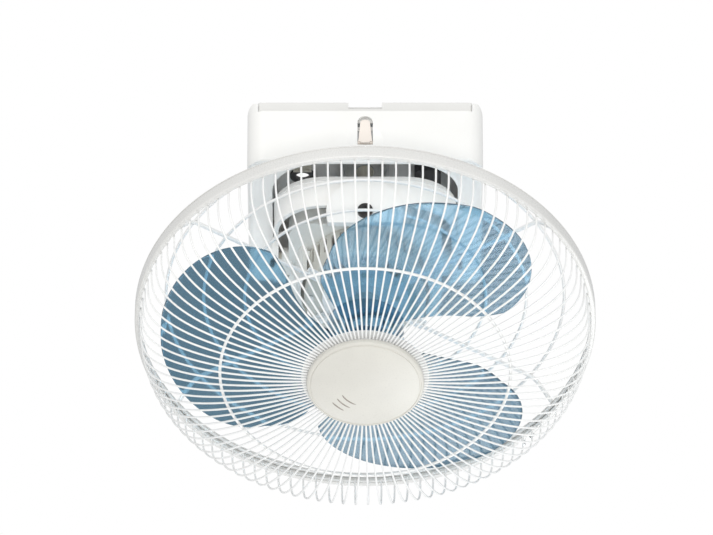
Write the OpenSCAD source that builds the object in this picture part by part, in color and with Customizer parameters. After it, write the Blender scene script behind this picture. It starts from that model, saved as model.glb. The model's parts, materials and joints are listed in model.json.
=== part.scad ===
// Orbital ceiling fan. The ceiling plate carries a hanger; a gimbal ring rolls on the hanger
// about Y, the fan head pitches in the ring about X, and a small gear motor on the head turns
// a crank against a fixed post. Origin: centre of the ceiling plate's upper face. +Z is up,
// -Y is the front, with the release tab.

/* [Ceiling plate] */
// How far the cover stands out past the pressed plate at the sides
plate_side = 10.5; // [10:0.5:14]
// How far it stands out past the plate in front and behind
plate_step = 4; // [3.5:0.5:6]
// Corner radius of the plate
plate_corner = 2.5; // [2:0.5:6]
// Sheet thickness
plate_t = 1.5; // [1:0.1:2]
// Height of the plate's folded edge
flange_h = 13; // [11:0.5:15]
// Width of the cable notch in the front edge
notch_w = 33; // [20:1:50]
// Depth of the cable notch
notch_d = 7; // [4:0.5:9]
// Spacing of the ceiling screws along X
mount_x = 120; // [100:1:140]
// Spacing of the ceiling screws along Y
mount_y = 160; // [120:1:180]
// Diameter of the ceiling screw holes
mount_hole_d = 6; // [4:0.5:8]
// Bore of the cable grommet
grommet_bore = 14; // [8:0.5:16]

/* [Base cover] */
// Width of the moulded cover
cover_w = 230.5; // [226:0.5:245]
// Depth of the moulded cover
cover_d = 230; // [228:1:245]
// Height of the moulded cover
cover_h = 70; // [64:1:80]
// Wall of the cover
cover_wall = 2.5; // [2:0.1:3]
// Corner radius seen from below
cover_corner = 18; // [12:1:26]
// Rounding of the edge against the ceiling
cover_top_r = 9; // [6:0.5:11]
// Rounding of the lower edge
cover_low_r = 5; // [3:0.5:7]
// Play beside the gimbal ring in the opening of the underside
opening_play = 3; // [2.5:0.5:6]
// Play behind the ring in that opening
rear_play = 8; // [6:0.5:12]
// Width of the underside left in front of the opening
front_ledge = 5.5; // [5.5:0.5:20]
// Corner radius of the opening
opening_r = 50; // [40:1:54]

/* [Release tab] */
// Width of the arched slot
slot_w = 15; // [13:0.5:18]
// Height of the tab above its hinge
tab_h = 21; // [18:0.5:22]
// Width of the tab at its foot
tab_foot_w = 9; // [7:0.5:10]
// Width of the tab at its top
tab_top_w = 6; // [4:0.5:8]
// Depth of the finger dish
dish_depth = 1.8; // [1:0.1:2]

/* [Gimbal] */
// Drop from the ceiling to the point where both gimbal axes cross
pivot_drop = 114; // [110:1:120]
// Tilt of the fan head on its orbit, at rest toward the front
rest_tilt = 15; // [12:1:15]
// Corner radius of the ring
ring_corner = 50; // [44:1:54]
// Wall of the ring
ring_wall = 3; // [2.5:0.1:3.5]
// Height of the ring's band
ring_h = 33; // [28:1:36]
// Height of the band's lower edge above the pivot
ring_above = 9; // [7:0.5:12]
// Radius of the front and rear bosses
boss_r = 38; // [30:1:38]
// Radius of the side bosses
side_boss_r = 24; // [20:1:28]
// Diameter of the pivot pins
pin_d = 8; // [7:0.5:9]
// Thickness of the hanger strap
strap_t = 3; // [2.5:0.1:4]

/* [Fan head] */
// Width of the yoke tray
yoke_w = 150; // [146:1:150]
// Depth of the yoke tray
yoke_d = 120; // [116:1:124]
// How far the lugs for the pitch bushes stand out of the tray
lug_len = 7; // [6:0.5:9]
// Height of the yoke tray above the pivot
yoke_up = 12; // [10:0.5:13]
// Distance from the pivot down to the motor's back
motor_top = 10; // [9:0.5:12]
// Radius of the motor
motor_r = 60; // [58:0.5:61]
// Length of the motor
motor_len = 42; // [40:1:46]
// Vent slots in each of the four groups
vents = 6; // [3:1:7]
// Radius of the shaft
shaft_r = 4; // [3.5:0.1:5]

/* [Guard] */
// Outer diameter of the guard's trim band
guard_d = 450; // [444:1:470]
// Distance from the pivot down to the middle of the trim band
rim_drop = 82.5; // [80:0.5:86]
// Width of the trim band
band_w = 15; // [14:0.5:18]
// Bulge of the front guard past the band
guard_depth = 80.5; // [74:0.5:84]
// Fullness of its flat face: a higher number keeps the face flat further out
face_power = 1.6; // [1.2:0.1:3]
// Steepness of its side: a lower number makes the side stand straighter
side_power = 0.15; // [0.1:0.05:0.6]
// Number of radial wires
wire_count = 105; // [60:1:110]
// Thickness of a radial wire
wire_d = 2; // [1.6:0.1:2.2]
// Thickness of a ring wire
ring_wire_d = 3; // [2.5:0.1:3.2]
// Radius of the front guard's middle ring
mid_ring_r = 141; // [130:1:155]
// Radii of the rear guard's rings
rear_ring_r = [118, 158, 195];
// Thickness of a rear strut
strut_d = 4; // [3:0.5:5]
// Angle of each rear strut from the X axis
strut_angle = 32.5; // [25:0.5:45]
// Diameter of the hub cap
cap_d = 114; // [108:1:120]

/* [Blades] */
// Diameter swept by the blades
sweep_d = 400; // [380:1:404]
// Radius of the blade hub
hub_r = 38; // [34:0.5:42]
// Distance from the pivot down to the middle of the hub
blade_drop = 111; // [109:0.5:113]
// Distance from the pivot down to a blade's crest
blade_crest = 118; // [114:0.5:122]
// How far a blade's tip lies behind its crest
blade_dish = 13; // [8:1:18]
// Pitch of a blade at its tip, in degrees
blade_pitch = 9.5; // [6:0.5:11]
// Pitch at its root
root_pitch = 11.5; // [9:0.5:18]
// Half the angle that a blade covers at its widest
blade_half = 50; // [40:0.5:52]
// Angle by which the root is swept past the middle of the blade
blade_sweep = 20.5; // [0:0.5:24]
// Direction of the first blade
blade_turn = 62.5; // [0:0.5:119.5]

/* [Hidden] */
$fn = 64;
eps = 0.01;
seat = 0.3;       // gap between neighbouring pieces on different bodies
run_fit = 0.05;   // radial clearance of pins and shafts
white = [0.96, 0.96, 0.94];
steel = [0.70, 0.71, 0.72];
blue = [0.55, 0.72, 0.86, 0.75];

plate_w = cover_w - 2 * plate_side;
plate_d = cover_d - 2 * plate_step;
service_x = mount_x / 2 + 2;                  // the wiring parts stand this far from the middle

pin_r = pin_d / 2;
bush_r = pin_r + 2;
pivot_gap = 3;                                // between the ring and what it turns on
ring_half = yoke_w / 2 + lug_len + pivot_gap + ring_wall;
ring_in = ring_half - ring_wall;
ring_bottom = -pivot_drop + ring_above;
ring_top = ring_bottom + ring_h;
boss_out = ring_half + 4;
boss_cut = 12;                                // the bosses end this far below the pivot
arm_out = ring_in - pivot_gap;
arm_in = arm_out - strap_t;
web_w = 48;
arm_w = 30;
web_z = -plate_t - strap_t;
opening_front = -cover_d / 2 + front_ledge;
opening_rear = ring_half + rear_play;
lip_t = front_ledge - cover_wall + 0.2;       // the lip in the opening joins the front wall
head_t = 4;                                   // thickness of a pivot pin's head
nut_t = 5;

lug_in = yoke_w / 2 - 3;
lug_out = yoke_w / 2 + lug_len;
tray_floor = 4;
tray_wall = 3;
motor_face = motor_top + motor_len;
motor_wall = 2.5;
seam = motor_top + motor_len * 2 / 3;         // where the two motor covers meet
bearing_r = 11;
bearing_w = 7;
rear_bearing_z = motor_top + 3.3;
front_bearing_z = motor_face - 2;
nose_r = 16;
nose_z = motor_face + 10;
core_top = motor_top + 17;
core_len = 18;
bore_r = 25.6;
coil_r = [30, 45];
coil_over = 3.9;                              // the coils stand this far out of the core
screw_ring = motor_r - motor_wall - 4.5;      // radius of the circle of motor screws
screw_end = core_top - 8;
plate_front = motor_face + 1.5;               // front of the guard's mounting plate
guard_plate_r = 42;

ball_r = 4;
crank_drop = 32;                              // height of the crank's ball above the pivot
crank_arm = crank_drop * tan(rest_tilt);     // the crank holds the head at this tilt
ball_track = norm([crank_drop, crank_arm]);
ball_gap = 2.5;                               // the open pivot's clearance round the ball
post_track = ball_track + ball_r + ball_gap;
gear_can_r = 25;
gear_can_h = 22;
gear_screw_r = gear_can_r + 6;
gear_can_z = -motor_top + tray_floor;
crank_z = gear_can_z + gear_can_h + 1;

band_r = guard_d / 2;
band_t = 1.5;
wire_r = wire_d / 2;
ring_wire_r = ring_wire_d / 2;
rim_ring_r = band_r - band_t - seat - ring_wire_r;
front_rim = rim_drop + band_w / 2 - band_t - seat - ring_wire_r;
rear_rim = rim_drop - band_w / 2 + band_t + seat + ring_wire_r;
wire_end_r = rim_ring_r - ring_wire_r - wire_r - 0.05;
wire_in_r = cap_d / 2 - 7;
wire_steps = 10;
wire_profile = [for (i = [0:wire_steps])
    let (r = wire_in_r + (wire_end_r - wire_in_r) * sin(90 * i / wire_steps))
        [r, guard_depth_at(r)]];
cap_back = front_rim + guard_depth + wire_r + seat;
strut_z = plate_front + strut_d / 2;
rear_ring_z = strut_z - strut_d / 2 - ring_wire_r - 0.05;
inner_ring_r = cap_d / 2 - 5;
inner_ring_z = front_rim + guard_depth - wire_r - ring_wire_r - 0.05;
cap_plate_z = inner_ring_z - ring_wire_r - seat;
cap_plate_t = 1.5;
post_r = 4;

blade_r = sweep_d / 2;
blade_root = hub_r - 1.5;
blade_t = 2;
hub_back = blade_drop - 19;
hub_front = blade_drop + 19;
crest_r = 90;                                 // radii where the crest lies
belly_r = 108;                                // where the blade is widest
swept_r = belly_r + 30;                       // and where its sweep starts
shaft_end = hub_front + 14;
pin_z = hub_back + 9;

tab_hinge_y = -cover_d / 2 + 4.5;
tab_hinge_z = -46;
tab_pin_r = 1.5;
slot_top = tab_hinge_z + tab_h + 7;
window_z = tab_hinge_z + tab_h - 1;           // middle of the catch window

function arc(x, y, r, from, to, n = 8) =
    [for (i = [0:n]) let (a = from + (to - from) * i / n) [x + r * cos(a), y + r * sin(a)]];

// A flat strip of thickness t along the points p
function unit(v) = v / norm(v);
function turned(v) = [-v.y, v.x];
function strip_normal(p, i) =
    let (a = i > 0 ? turned(unit(p[i] - p[i - 1])) : turned(unit(p[1] - p[0])),
         b = i < len(p) - 1 ? turned(unit(p[i + 1] - p[i])) : a,
         m = unit(a + b))
    m / (m * a);
function strip(p, t) = concat(
    [for (i = [0:len(p) - 1]) p[i] + strip_normal(p, i) * t / 2],
    [for (i = [len(p) - 1:-1:0]) p[i] - strip_normal(p, i) * t / 2]);

module rounded(w, d, r) {
    square([w - 2 * r, d], center = true);
    square([w, d - 2 * r], center = true);
    for (x = [-1, 1], y = [-1, 1])
        translate([x * (w / 2 - r), y * (d / 2 - r)]) circle(r);
}

// Places a piece of the fan head: its -Z runs down the head's axis from the pivot
module in_head() {
    translate([0, 0, -pivot_drop]) rotate([-rest_tilt, 0, 0]) children();
}

// A disc or ring on the head's axis, from one distance below the pivot to another
module on_axis(from, to, r, hole = 0) {
    translate([0, 0, -to]) difference() {
        cylinder(r = r, h = to - from);
        if (hole > 0) translate([0, 0, -1]) cylinder(r = hole, h = to - from + 2);
    }
}

module wire_ring(r, wire) {
    rotate_extrude() translate([r, 0]) circle(wire);
}

// ---- Base ----

module ceiling_plate() {
    hd = plate_d / 2;
    color(steel) difference() {
        union() {
            difference() {
                translate([0, 0, -flange_h]) linear_extrude(flange_h)
                    rounded(plate_w, plate_d, plate_corner);
                translate([0, 0, -flange_h - 1]) linear_extrude(flange_h + 1 - plate_t)
                    rounded(plate_w - 2 * plate_t, plate_d - 2 * plate_t, plate_corner - plate_t);
            }
            // tongues with the catch windows: one in front, two behind
            translate([-12, -hd, window_z - 7]) cube([24, plate_t, -window_z + 7 - plate_t]);
            for (x = [-60, 60])
                translate([x - 12, hd - plate_t, window_z - 7])
                    cube([24, plate_t, -window_z + 7 - plate_t]);
            // raised ribs that stiffen the sheet
            for (x = [-1, 1])
                translate([x * (mount_x / 2 + 23) - 4, -hd + 24, -plate_t - 2])
                    cube([8, plate_d - 48, 2.5]);
        }
        for (x = [-1, 1], y = [-1, 1])
            translate([x * mount_x / 2, y * mount_y / 2, -flange_h])
                cylinder(d = mount_hole_d, h = flange_h + 1);
        translate([-service_x, 20, -5]) cylinder(r = grommet_bore / 2 + 3, h = 6);
        translate([-notch_w / 2, -hd - 1, -notch_d]) cube([notch_w, plate_t + 8, notch_d + 1]);
        translate([-8, -hd - 1, window_z - 2.4]) cube([16, plate_t + 2, 4.8]);
        for (x = [-60, 60])
            translate([x - 9, hd - plate_t - 1, window_z - 2]) cube([18, plate_t + 2, 4]);
        for (x = [-16, 16], y = [-45, 45])
            translate([x, y, -5]) cylinder(r = 2.55, h = 6);
    }
}

module hanger_arm() {
    rotate([90, 0, 0]) linear_extrude(strap_t) difference() {
        union() {
            polygon([[-web_w / 2, 0], [-arm_w / 2, -pivot_drop - web_z],
                     [arm_w / 2, -pivot_drop - web_z], [web_w / 2, 0]]);
            translate([0, -pivot_drop - web_z]) circle(arm_w / 2);
        }
        translate([0, -pivot_drop - web_z]) circle(pin_r + run_fit);
        translate([0, -pivot_drop * 0.5]) circle(9);
    }
}

module hanger_bracket() {
    color(steel) difference() {
        union() {
            translate([-web_w / 2, -arm_out, web_z]) cube([web_w, 2 * arm_out, strap_t]);
            translate([0, -arm_in, web_z]) hanger_arm();
            translate([0, arm_out, web_z]) hanger_arm();
            // folded edges that stiffen the web
            for (x = [-1, 1])
                translate([x * (web_w / 2 - 1.5) - 1.5, -arm_in, web_z - 8])
                    cube([3, 2 * arm_in, 8]);
        }
        for (x = [-16, 16], y = [-45, 45])
            translate([x, y, web_z - 1]) cylinder(r = 2.55, h = strap_t + 2);
    }
}

module hanger_bolts() {
    color([0.5, 0.5, 0.52]) for (x = [-16, 16], y = [-45, 45]) translate([x, y, 0]) {
        translate([0, 0, web_z - 3.5]) cylinder(r = 4.2, h = 3.5, $fn = 6);
        translate([0, 0, web_z - eps]) cylinder(r = 2.5, h = strap_t + plate_t);
    }
}

// Fixed post whose hollow foot follows the sphere that the crank's ball runs on
module drive_post() {
    foot_r = 22;
    foot_top = -pivot_drop + post_track + 6;
    foot_low = -pivot_drop + sqrt(pow(post_track, 2) - pow(foot_r, 2));
    color([0.85, 0.85, 0.84]) difference() {
        union() {
            translate([0, 0, web_z - 4]) cylinder(r = 14, h = 4);
            translate([0, 0, foot_top - 3]) cylinder(r = 8, h = web_z - foot_top + 3);
            translate([0, 0, foot_low]) cylinder(r = foot_r, h = foot_top - 6 - foot_low);
            translate([0, 0, foot_top - 6]) cylinder(r1 = foot_r, r2 = 8, h = 6);
        }
        translate([0, 0, -pivot_drop]) sphere(post_track);
    }
}

module cable_grommet() {
    bore = grommet_bore / 2;
    color([0.15, 0.15, 0.15]) translate([-service_x, 20, -plate_t]) rotate_extrude()
        polygon([[bore, -2.5], [bore + 5.5, -2.5], [bore + 5.5, -0.02], [bore + 2.95, -0.02],
                 [bore + 2.95, plate_t - 0.2], [bore, plate_t - 0.2]]);
}

module terminal_block() {
    color([0.93, 0.92, 0.86]) translate([-service_x, -32, -plate_t]) difference() {
        union() {
            translate([-12, -24, -5]) cube([24, 48, 5]);
            for (i = [0:3]) translate([-9, -22 + 11.5 * i, -16]) cube([18, 9.5, 12]);
        }
        for (i = [0:3]) translate([0, -17.25 + 11.5 * i, -17]) {
            for (x = [-5, 5]) translate([x, 0, 0]) cylinder(r = 2, h = 6);
            translate([-20, 0, 4]) rotate([0, 90, 0]) cylinder(r = 1.6, h = 40);
        }
    }
}

module run_capacitor() {
    color([0.2, 0.2, 0.22]) translate([service_x, 0, -plate_t - 24]) {
        linear_extrude(24) rounded(26, 52, 6);
        translate([-6, -38, 21]) cube([12, 76, 3]);
    }
}

module cover_solid(inset, top) {
    w = cover_w - 2 * inset;
    d = cover_d - 2 * inset;
    low = -cover_h + inset;
    r = cover_top_r - inset;
    intersection() {
        translate([0, 0, low]) linear_extrude(top - low) rounded(w, d, cover_corner - inset);
        translate([0, d, 0]) rotate([90, 0, 0]) linear_extrude(2 * d) cover_profile(w, low, top, r);
        rotate([90, 0, 90]) translate([0, 0, -w]) linear_extrude(2 * w)
            cover_profile(d, low, top, r);
    }
}

module cover_profile(w, low, top, r) {
    b = cover_low_r;
    polygon(concat(arc(-w / 2 + b, low + b, b, 180, 270), arc(w / 2 - b, low + b, b, 270, 360),
                   arc(w / 2 - r, top - r, r, 0, 90), arc(-w / 2 + r, top - r, r, 90, 180)));
}

// The opening in the underside, or its outline moved outward
module opening(grow = 0) {
    translate([0, (opening_front + opening_rear) / 2])
        rounded(2 * (ring_half + opening_play + grow), opening_rear - opening_front + 2 * grow,
                opening_r + grow);
}

module arched_slot(w, h) {
    translate([-w / 2, 0]) square([w, h - w / 2]);
    translate([0, h - w / 2]) circle(w / 2);
}

module base_cover() {
    front = -cover_d / 2;
    step = 1;                                   // play between the cover and the plate
    pad = 7;
    dish_r = (pow(18, 2) + pow(dish_depth, 2)) / (2 * dish_depth);
    color(white) difference() {
        union() {
            difference() {
                cover_solid(0, 0);
                cover_solid(cover_wall, -cover_wall);
                // the top is open inside its rounded edge
                translate([0, 0, -cover_top_r - 2]) linear_extrude(cover_top_r + 3)
                    rounded(cover_w - 2 * cover_top_r, cover_d - 2 * cover_top_r, cover_low_r);
                // front and rear edges step down to show the plate
                for (y = [-1, 1])
                    translate([-plate_w / 2 - 0.6, y * cover_d / 2 - 12, -flange_h + step])
                        cube([plate_w + 1.2, 24, flange_h]);
                translate([0, 0, -cover_h - 1]) linear_extrude(cover_wall + 2) opening();
            }
            // upturned lip round the opening
            translate([0, 0, -cover_h]) linear_extrude(8) difference() {
                opening(lip_t);
                opening();
            }
            // pad behind the release tab
            translate([-20, front + cover_wall - 0.5, tab_hinge_z - 14])
                cube([40, pad - cover_wall + 0.5, 26]);
            // hooks that hang the back of the cover in the plate's windows
            for (x = [-60, 60])
                translate([x - 8, cover_d / 2 - cover_wall - 6, window_z - 1.6])
                    cube([16, 6.5, 3.2]);
            // stiffening ribs inside the side walls
            for (x = [-1, 1], y = [-60, 0, 60])
                translate([x * (cover_w / 2 - cover_wall - 3) - 3.5, y - 1, -cover_h + cover_wall - 0.5])
                    cube([7, 2, 34]);
        }
        translate([0, front + pad + 1, tab_hinge_z + 1]) rotate([90, 0, 0])
            linear_extrude(pad + 4) arched_slot(slot_w, slot_top - tab_hinge_z - 1);
        translate([-slot_w / 2, front - 1, tab_hinge_z - 4]) cube([slot_w, pad + 3, 6]);
        translate([0, front - dish_r + dish_depth, tab_hinge_z - 1]) sphere(dish_r);
        translate([-slot_w / 2 - 3.5, tab_hinge_y, tab_hinge_z]) rotate([0, 90, 0])
            cylinder(r = tab_pin_r + run_fit, h = slot_w + 7);
    }
}

module release_tab() {
    face = -cover_d / 2 + 0.4;
    t = 2.4;
    color([0.93, 0.88, 0.84]) {
        translate([0, face + t, tab_hinge_z]) rotate([90, 0, 0]) linear_extrude(t) {
            polygon([[-tab_foot_w / 2, -2], [tab_foot_w / 2, -2], [tab_top_w / 2, tab_h],
                     [-tab_top_w / 2, tab_h]]);
            translate([0, tab_h]) circle(tab_top_w / 2);
        }
        translate([-tab_foot_w / 2, face + t - 1, tab_hinge_z - 2])
            cube([tab_foot_w, tab_hinge_y - face - t + 1, 4]);
        translate([-slot_w / 2 + seat, tab_hinge_y, tab_hinge_z]) rotate([0, 90, 0])
            cylinder(r = 2, h = slot_w - 2 * seat);
        translate([-slot_w / 2 - 3.2, tab_hinge_y, tab_hinge_z]) rotate([0, 90, 0])
            cylinder(r = tab_pin_r, h = slot_w + 6.4);
        // hook that enters the plate's window
        translate([-2.5, face + t - 1, window_z - 1.3])
            cube([5, -plate_d / 2 + plate_t + 1.2 - face - t + 1, 2.6]);
    }
}

// Pin along +X from its head at x = 0
module pivot_pin(len) {
    color(steel) rotate([0, 90, 0]) {
        difference() {
            translate([0, 0, -head_t]) cylinder(r = pin_r + 3.5, h = head_t);
            for (a = [0, 90]) rotate(a) translate([-4.5, -0.8, -head_t - 1]) cube([9, 1.6, 2.6]);
        }
        translate([0, 0, -eps]) cylinder(r = pin_r, h = len);
    }
}

module front_and_back() {
    for (a = [-90, 90]) translate([0, 0, -pivot_drop]) rotate(a) children();
}

module left_and_right() {
    for (a = [0, 180]) translate([0, 0, -pivot_drop]) rotate(a) children();
}

module roll_pins() {
    out = boss_out + seat;
    front_and_back() translate([out, 0, 0]) mirror([1, 0, 0]) pivot_pin(out - arm_in + nut_t);
}

module roll_nuts() {
    color(steel) front_and_back() translate([arm_in - nut_t, 0, 0]) rotate([0, 90, 0])
        difference() {
            cylinder(r = 7.5, h = nut_t, $fn = 6);
            translate([0, 0, -1]) cylinder(r = pin_r + 0.02, h = nut_t + 2);
        }
}

// ---- Gimbal ring ----

module gimbal_ring() {
    color(white) difference() {
        union() {
            translate([0, 0, ring_bottom]) linear_extrude(ring_h) difference() {
                rounded(2 * ring_half, 2 * ring_half, ring_corner);
                rounded(2 * ring_in, 2 * ring_in, ring_corner - ring_wall);
            }
            // beads along the upper and lower edge
            for (z = [ring_bottom, ring_top - 4])
                translate([0, 0, z]) linear_extrude(4) difference() {
                    rounded(2 * ring_half + 3, 2 * ring_half + 3, ring_corner + 1.5);
                    rounded(2 * ring_in, 2 * ring_in, ring_corner - ring_wall);
                }
            front_and_back() ring_boss(boss_r, boss_out);
            left_and_right() ring_boss(side_boss_r, boss_out - 1);
        }
        front_and_back() rotate([0, 90, 0]) cylinder(r = bush_r + 0.02, h = boss_out + 1);
        left_and_right() rotate([0, 90, 0]) cylinder(r = pin_r + 0.02, h = boss_out + 1);
    }
}

// Round boss about a pivot, cut off flat below it
module ring_boss(r, out) {
    translate([ring_in, 0, 0]) rotate([90, 0, 90]) linear_extrude(out - ring_in) intersection() {
        circle(r);
        translate([-r, -boss_cut]) square([2 * r, r + boss_cut + 1]);
    }
}

// Bush with a flange: x = 0 at the flange's face, the sleeve toward +X
module flanged_bush(flange_t, sleeve) {
    color([0.86, 0.84, 0.76]) rotate([0, 90, 0]) rotate_extrude()
        polygon([[pin_r + run_fit, 0], [bush_r + 3, 0], [bush_r + 3, flange_t],
                 [bush_r, flange_t], [bush_r, flange_t + sleeve], [pin_r + run_fit, flange_t + sleeve]]);
}

module roll_bushes() {
    flange_t = pivot_gap - seat;
    front_and_back() translate([arm_out + seat, 0, 0])
        flanged_bush(flange_t, boss_out - ring_in);
}

module pitch_pins() {
    out = boss_out - 1;
    left_and_right() translate([out, 0, 0]) mirror([1, 0, 0]) pivot_pin(out - lug_in + nut_t - 1);
}

module pitch_clips() {
    color(steel) left_and_right() translate([lug_in - nut_t + 1, 0, 0]) rotate([0, 90, 0])
        difference() {
            cylinder(r = motor_top - tray_floor - 0.5, h = nut_t - 1 - seat);
            translate([0, 0, -1]) cylinder(r = pin_r + 0.02, h = nut_t + 2);
        }
}

// ---- Fan head ----

module yoke_arm() {
    // arm that runs down beside the motor
    rotate(-26) rotate_extrude(angle = 52) translate([motor_r + seat, 0])
        polygon([[3, -seam - 8], [7, -seam - 5], [9, -motor_top], [3, -motor_top],
                 [3, -motor_top - 4], [0, -motor_top - 4], [0, -motor_top - 12],
                 [3, -motor_top - 12]]);
}

module head_yoke() {
    low = -motor_top;
    color(white) in_head() difference() {
        union() {
            difference() {
                translate([0, 0, low]) linear_extrude(yoke_up - low)
                    rounded(yoke_w, yoke_d, 20);
                translate([0, 0, low + tray_floor]) linear_extrude(yoke_up - low)
                    rounded(yoke_w - 2 * tray_wall, yoke_d - 2 * tray_wall, 20 - tray_wall);
            }
            for (a = [0, 180]) rotate(a) {
                translate([lug_in, 0, 0]) rotate([0, 90, 0]) cylinder(r = 14, h = lug_out - lug_in);
                translate([lug_in, -14, low]) cube([yoke_w / 2 - lug_in, 28, -low]);
                yoke_arm();
            }
            // ribs across the tray's floor
            for (x = [-1, 1], a = [-30, 30])
                translate([x * yoke_w / 3, 0, low + tray_floor - 0.5]) rotate(a)
                    translate([-yoke_d / 6, -1, 0]) cube([yoke_d / 3, 2, 5]);
        }
        for (a = [0, 180]) rotate(a) translate([lug_in - 1, 0, 0]) rotate([0, 90, 0])
            cylinder(r = bush_r + 0.02, h = lug_out - lug_in + 2);
        for (a = [60, 180, 300]) rotate(a) translate([gear_screw_r, 0, low - 1])
            cylinder(r = 1.55, h = tray_floor + 2);
    }
}

module pitch_bushes() {
    in_head() for (a = [0, 180]) rotate(a)
        translate([lug_out + pivot_gap - seat, 0, 0]) mirror([1, 0, 0])
            flanged_bush(pivot_gap - seat, lug_out - lug_in);
}

module orbit_gear_motor() {
    color([0.75, 0.76, 0.78]) in_head() translate([0, 0, gear_can_z]) difference() {
        union() {
            cylinder(r = gear_can_r, h = gear_can_h);
            linear_extrude(1.5) difference() {
                for (a = [60, 180, 300]) rotate(a) translate([gear_can_r - 5, -5]) square([16, 10]);
                for (a = [60, 180, 300]) rotate(a) translate([gear_screw_r, 0]) circle(1.6);
            }
            translate([0, 0, gear_can_h - eps]) cylinder(r = 6, h = 0.6);
        }
        translate([0, 0, gear_can_h - 14]) cylinder(r = 3.55, h = 20);
    }
}

module gear_motor_screws() {
    color(steel) in_head() for (a = [60, 180, 300]) rotate(a)
        translate([gear_screw_r, 0, gear_can_z + 1.5]) {
            cylinder(r = 2.8, h = 1.8);
            translate([0, 0, -4.5]) cylinder(r = 1.5, h = 4.5 + eps);
        }
}

module vent_slots() {
    top = -motor_top - 6.5;
    for (g = [45:90:315], i = [0:vents - 1])
        rotate(g + 9 * (i - (vents - 1) / 2))
            translate([motor_r - 6, -1.8, -seam + 3]) cube([8, 3.6, top + seam - 3]);
}

module motor_rear_cover() {
    in_r = motor_r - motor_wall;
    color([0.88, 0.88, 0.87]) in_head() difference() {
        union() {
            difference() {
                rotate_extrude() polygon(concat([[0, -seam], [motor_r, -seam]],
                    arc(motor_r - 5, -motor_top - 5, 5, 0, 90, 5), [[0, -motor_top]]));
                on_axis(motor_top + 3, seam + 1, in_r);
            }
            on_axis(motor_top + 1, rear_bearing_z + bearing_w, 15);
            // posts that hold the stator and take the screws
            for (a = [0:90:270]) rotate(a) translate([in_r - 9, -4.5, -core_top + 0.02])
                cube([9.5, 9, core_top - motor_top - 2]);
        }
        on_axis(rear_bearing_z, seam, bearing_r + 0.02);
        vent_slots();
        for (a = [0:90:270]) rotate(a) translate([screw_ring, 0, 0])
            on_axis(screw_end - 1, core_top + 1, 1.52);
    }
}

module motor_front_cover() {
    in_r = motor_r - motor_wall;
    stack = core_top + core_len + 0.02;
    color([0.88, 0.88, 0.87]) in_head() difference() {
        union() {
            difference() {
                rotate_extrude() polygon(concat([[0, -motor_face]],
                    arc(motor_r - 4, -motor_face + 4, 4, -90, 0, 5), [[motor_r, -seam], [0, -seam]]));
                on_axis(seam - 1, motor_face - 2.5, in_r);
            }
            on_axis(motor_face - 3, nose_z, nose_r);
            for (a = [0:90:270]) rotate(a) translate([in_r - 9, -4.5, -motor_face + 2])
                cube([9.5, 9, motor_face - 2 - stack]);
        }
        on_axis(front_bearing_z - 3, front_bearing_z + bearing_w, bearing_r + 0.02);
        on_axis(front_bearing_z, nose_z + 1, shaft_r + 1);
        for (a = [0:90:270]) rotate(a) translate([screw_ring, 0, 0])
            on_axis(core_top + core_len - 1, motor_face + 1, 1.6);
        // air slots round the edge of the face
        for (g = [45:90:315], i = [-2:2]) rotate(g + 9 * i)
            translate([motor_r - 22, -1.8, -motor_face - 1]) cube([14, 3.6, 5]);
    }
}

module motor_screws() {
    color(steel) in_head() for (a = [0:90:270]) rotate(a) translate([screw_ring, 0, 0]) {
        on_axis(motor_face, motor_face + 1.2, 3);
        on_axis(screw_end, motor_face + eps, 1.5);
    }
}

module stator_slot() {
    for (a = [0:45:315]) rotate(a) {
        translate([bore_r - 2, -1.5]) square([8, 3]);
        translate([coil_r[0] - 1, -6]) square([coil_r[1] - coil_r[0] + 2, 12]);
    }
}

module stator_core() {
    in_r = motor_r - motor_wall;
    color([0.45, 0.46, 0.48]) in_head() translate([0, 0, -core_top - core_len])
        linear_extrude(core_len) difference() {
            circle(in_r - 0.1);
            circle(bore_r);
            stator_slot();
            for (a = [0:90:270]) rotate(a) translate([screw_ring, 0]) circle(1.8);
        }
}

module stator_coils() {
    color([0.72, 0.40, 0.22]) in_head() {
        for (z = [core_top - coil_over - seat, core_top + core_len + seat])
            on_axis(z, z + coil_over, coil_r[1], coil_r[0]);
        for (a = [0:45:315]) rotate(a)
            translate([coil_r[0] + 0.5, -5, -core_top - core_len - 1])
                cube([coil_r[1] - coil_r[0] - 1, 10, core_len + 2]);
    }
}

module ball_bearing(z) {
    color(steel) in_head() translate([0, 0, -z - bearing_w]) rotate_extrude()
        polygon([[shaft_r + run_fit, 0], [shaft_r + 2.5, 0], [shaft_r + 2.5, 0.6],
                 [bearing_r - 2.5, 0.6], [bearing_r - 2.5, 0], [bearing_r, 0],
                 [bearing_r, bearing_w], [bearing_r - 2.5, bearing_w],
                 [bearing_r - 2.5, bearing_w - 0.6], [shaft_r + 2.5, bearing_w - 0.6],
                 [shaft_r + 2.5, bearing_w], [shaft_r + run_fit, bearing_w]]);
}

module guard_plate() {
    color(white) in_head() translate([0, 0, -plate_front]) linear_extrude(plate_front - motor_face)
        difference() {
            union() {
                circle(guard_plate_r);
                for (a = strut_angles()) rotate(a) translate([0, -6]) square([motor_r + 8, 12]);
            }
            circle(nose_r + 0.1);
            for (a = [0:90:270]) rotate(a) translate([32, 0]) circle(4);
        }
}

function strut_angles() = [strut_angle, 180 - strut_angle, 180 + strut_angle, -strut_angle];

module guard_nut() {
    color([0.92, 0.92, 0.90]) in_head() difference() {
        union() {
            on_axis(plate_front, plate_front + 7, 26);
            on_axis(plate_front, plate_front + 2.5, 29);
            for (a = [0:30:330]) rotate(a) translate([25, -1.5, -plate_front - 7]) cube([3, 3, 6]);
        }
        on_axis(plate_front - 1, plate_front + 8, nose_r + 0.02);
    }
}

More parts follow.
